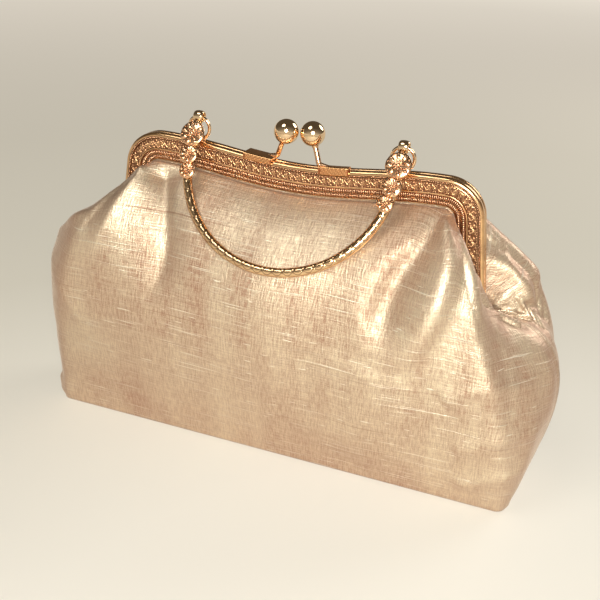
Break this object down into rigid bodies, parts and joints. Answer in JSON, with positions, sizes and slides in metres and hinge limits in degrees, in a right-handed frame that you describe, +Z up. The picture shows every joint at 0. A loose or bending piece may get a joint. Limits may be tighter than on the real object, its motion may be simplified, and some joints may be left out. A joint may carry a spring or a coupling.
{
  "type": "clutch bag",
  "caption": "Soft silk clutch bag on a hinged kiss-lock metal frame, with clasp balls and a rigid arched handle that swings on rings.",
  "frame": {"origin": "middle of the flat base, on the table", "axes": "+X along the bag's length towards the front's right, -Y out of the front, +Z up"},
  "size_m": [0.288, 0.089, 0.1785],
  "materials": {
    "silk": "satin sheen, slubbed dupion weave",
    "lining": "smooth lining cloth",
    "board": "raw",
    "paper_cord": "raw",
    "rose_gold": "polished rose-gold plating, embossed bands"
  },
  "bodies": {
    "pouch": {"outer_front_panel": "silk", "outer_back_panel": "silk", "outer_base_panel": "silk", "lining_front_panel": "lining", "lining_back_panel": "lining", "lining_base_panel": "lining", "base_board": "board"},
    "front_frame": {"front_frame": "rose_gold", "front_channel_cord": "paper_cord", "front_clasp_plate": "rose_gold", "front_clasp_ball": "rose_gold", "left_rivet": "rose_gold", "right_rivet": "rose_gold", "left_ring_lug": "rose_gold", "right_ring_lug": "rose_gold", "left_ring": "rose_gold", "right_ring": "rose_gold"},
    "back_frame": {"back_frame": "rose_gold", "back_channel_cord": "paper_cord", "back_clasp_plate": "rose_gold", "back_clasp_ball": "rose_gold"},
    "handle": {"handle_bar": "rose_gold", "left_handle_eye": "rose_gold", "right_handle_eye": "rose_gold", "left_large_flower": "rose_gold", "left_middle_flower": "rose_gold", "left_lower_flower": "rose_gold", "right_large_flower": "rose_gold", "right_middle_flower": "rose_gold", "right_lower_flower": "rose_gold"}
  },
  "joints": [
    {"name": "front_frame_hinge", "type": "hinge", "parent": "pouch", "child": "front_frame", "pos_m": [0, 0, 0.1], "axis": [1, 0, 0], "range_deg": [0, 45], "deforming": ["outer_front_panel", "lining_front_panel"]},
    {"name": "back_frame_hinge", "type": "hinge", "parent": "pouch", "child": "back_frame", "pos_m": [0, 0, 0.1], "axis": [1, 0, 0], "range_deg": [-45, 0], "deforming": ["outer_back_panel", "lining_back_panel"]},
    {"name": "handle_swing", "type": "hinge", "parent": "front_frame", "child": "handle", "pos_m": [0, -0.00217, 0.17346], "axis": [-1, 0, 0], "range_deg": [0, 260]}
  ],
  "couplings": [
    {"joint": "back_frame_hinge", "follows": "front_frame_hinge", "ratio": -1}
  ]
}
